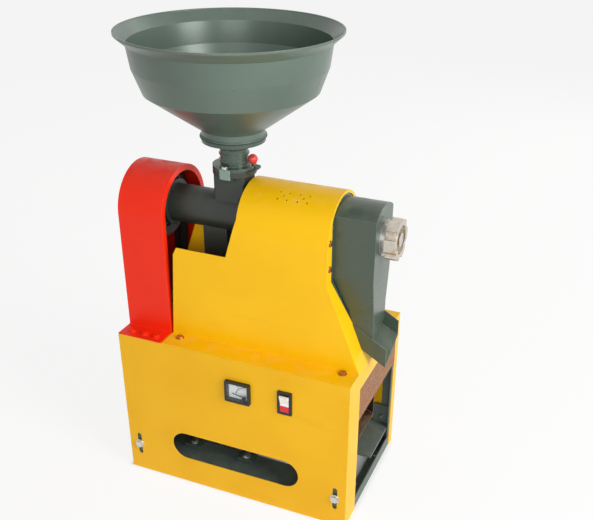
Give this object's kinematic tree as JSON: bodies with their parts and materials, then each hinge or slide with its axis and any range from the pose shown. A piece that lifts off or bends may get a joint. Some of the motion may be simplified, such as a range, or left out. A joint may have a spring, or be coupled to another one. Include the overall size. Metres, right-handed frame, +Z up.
{
  "type": "rice huller",
  "caption": "Electric rice mill with a feed hopper, belt drive, milling roller, screen, pressure-regulated outlet and sheet-steel cabinet.",
  "frame": {"origin": "on the floor under the mill shaft, at the centre of the four anchor holes in the cabinet's side rails", "axes": "+Z up, +X along the mill shaft towards the rice outlet, the control face at -Y"},
  "size_m": [0.6383, 0.472, 1.098],
  "materials": {
    "cabinet_enamel": "yellow stoved enamel on sheet steel",
    "hood_enamel": "yellow stoved enamel on sheet steel",
    "guard_enamel": "red stoved enamel on sheet steel",
    "grey_enamel": "grey-green hammer enamel",
    "casting_enamel": "dark grey machine enamel on cast iron",
    "hopper_enamel": "grey-green enamel on spun sheet",
    "galvanised": "galvanised sheet",
    "frame_paint": "dark grey primer",
    "zinc_steel": "zinc-plated fasteners",
    "bare_steel": "machined steel",
    "cast_iron": "as cast and machined iron",
    "motor_enamel": "grey-green motor enamel",
    "fan_plastic": "black moulded nylon",
    "belt_rubber": "rubber with fabric cover",
    "knob_metal": "cast aluminium, handled",
    "gate_ball": "red phenolic ball",
    "meter_black": "black moulded bezel",
    "dial_paper": "printed pale dial",
    "needle_black": "black lacquered pointer",
    "clear_window": "clear moulded window",
    "rocker_white": "white moulded rocker"
  },
  "bodies": {
    "frame": {"base_frame": "frame_paint", "front_panel": "cabinet_enamel", "back_panel": "cabinet_enamel", "left_panel": "cabinet_enamel", "side_panel": "galvanised", "deck_plate": "cabinet_enamel", "front_motor_beam": "frame_paint", "rear_motor_beam": "frame_paint", "motor_bolts": "zinc_steel", "stator_housing": "motor_enamel", "motor_end_shields": "motor_enamel", "motor_bearings": "bare_steel", "fan_cowl": "motor_enamel", "terminal_box": "motor_enamel", "capacitors": "motor_enamel", "drive_belts": "belt_rubber", "belt_guard": "guard_enamel", "guard_bolts": "guard_enamel", "hood": "hood_enamel", "end_wall": "grey_enamel", "wall_bolts": "zinc_steel", "feed_casting": "casting_enamel", "flange_bolts": "zinc_steel", "deck_bolts": "zinc_steel", "bearing_cover": "casting_enamel", "mill_bearings": "bare_steel", "rice_screen": "bare_steel", "screen_frame": "cast_iron", "outlet_bracket": "cast_iron", "huller_blade": "bare_steel", "blade_holder": "bare_steel", "mill_stand": "hood_enamel", "gate_guides": "casting_enamel", "gate_seat": "casting_enamel", "feed_collar": "grey_enamel", "hopper": "hopper_enamel", "outlet_housing": "grey_enamel", "outlet_boss": "bare_steel", "rice_spout": "grey_enamel", "bran_chute": "galvanised", "meter_case": "meter_black", "meter_dial": "dial_paper", "meter_window": "clear_window", "switch_frame": "meter_black"},
    "mill_rotor": {"mill_shaft": "bare_steel", "mill_pulley": "cast_iron", "shaft_nuts": "zinc_steel", "feed_screw": "cast_iron", "milling_roller": "cast_iron"},
    "motor_rotor": {"motor_shaft": "bare_steel", "motor_pulley": "cast_iron", "motor_fan": "fan_plastic"},
    "feed_gate": {"slide_gate": "casting_enamel", "gate_knob": "gate_ball"},
    "meter_pointer": {"meter_needle": "needle_black"},
    "rocker": {"switch_rocker": "rocker_white"},
    "regulator_knob": {"pressure_knob": "knob_metal"},
    "pressure_unit": {"pressure_spindle": "bare_steel", "pressure_plate": "cast_iron", "pressure_spring": "bare_steel"}
  },
  "joints": [
    {"name": "motor_spin", "type": "hinge", "parent": "frame", "child": "motor_rotor", "pos_m": [0, 0, 0.16], "axis": [1, 0, 0], "continuous": true},
    {"name": "mill_spin", "type": "hinge", "parent": "frame", "child": "mill_rotor", "pos_m": [0, 0, 0.698], "axis": [1, 0, 0], "continuous": true},
    {"name": "gate_slide", "type": "slide", "parent": "frame", "child": "feed_gate", "axis": [1, 0, 0], "range_m": [0, 0.05]},
    {"name": "pointer_swing", "type": "hinge", "parent": "frame", "child": "meter_pointer", "pos_m": [0.039, -0.151, 0.305], "axis": [0, 1, 0], "range_deg": [0, 80], "stiffness_Nm_per_rad": 0.0005, "springref_deg": -11.46},
    {"name": "rocker_tilt", "type": "hinge", "parent": "frame", "child": "rocker", "pos_m": [0.14, -0.149, 0.3195], "axis": [1, 0, 0], "range_deg": [-18, 0]},
    {"name": "regulator_turn", "type": "hinge", "parent": "frame", "child": "regulator_knob", "pos_m": [0.335, 0, 0.698], "axis": [-1, 0, 0], "range_deg": [0, 675]},
    {"name": "pressure_slide", "type": "slide", "parent": "frame", "child": "pressure_unit", "axis": [-1, 0, 0], "range_m": [0, 0.0075]}
  ],
  "couplings": [
    {"joint": "mill_spin", "follows": "motor_spin", "ratio": 0.5},
    {"joint": "pressure_slide", "follows": "regulator_turn", "m_per_rad": 0.00063662}
  ]
}
